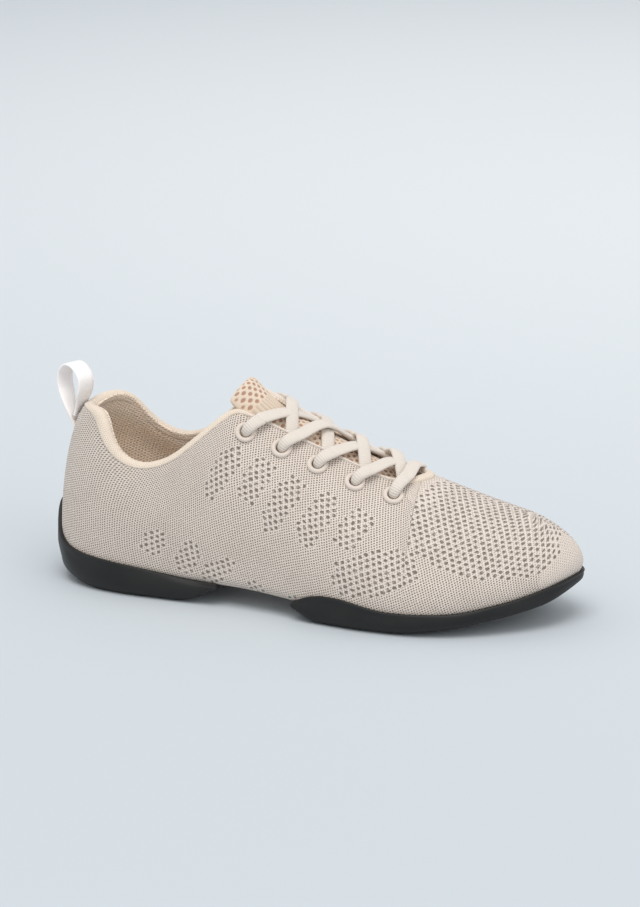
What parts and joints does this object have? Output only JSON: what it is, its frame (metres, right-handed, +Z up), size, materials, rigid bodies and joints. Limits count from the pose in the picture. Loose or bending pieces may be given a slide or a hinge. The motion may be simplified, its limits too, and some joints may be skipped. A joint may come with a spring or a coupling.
{
  "type": "dance sneaker",
  "caption": "Low right-foot dance sneaker with a knit upper, padded collar, mesh tongue, laced throat, pull loop at the heel and a split rubber sole.",
  "frame": {"origin": "on the floor under the middle of the heel, on the heel sole's flat", "axes": "+X to the toe, +Y to the inner side of the foot, +Z up from the floor"},
  "size_m": [0.2636, 0.0905, 0.108],
  "materials": {
    "sand_knit": "sand-coloured flat knit with small open holes in bands",
    "black_rubber": "matte black moulded rubber",
    "footbed": "plain peach-beige lining cloth",
    "cream_mesh": "cream open mesh with six-sided holes",
    "light_lace": "light flat lace with fine cross ribs",
    "white_tape": "off-white woven tape"
  },
  "bodies": {
    "root": {"upper": "sand_knit", "heel_sole": "black_rubber", "forefoot_sole": "black_rubber", "insole": "footbed", "tongue": "cream_mesh", "laces": "light_lace", "pull_loop": "white_tape", "eyelet_outer_1": "sand_knit", "eyelet_outer_2": "sand_knit", "eyelet_outer_3": "sand_knit", "eyelet_outer_4": "sand_knit", "eyelet_outer_5": "sand_knit", "eyelet_inner_1": "sand_knit", "eyelet_inner_2": "sand_knit", "eyelet_inner_3": "sand_knit", "eyelet_inner_4": "sand_knit", "eyelet_inner_5": "sand_knit"}
  },
  "joints": []
}
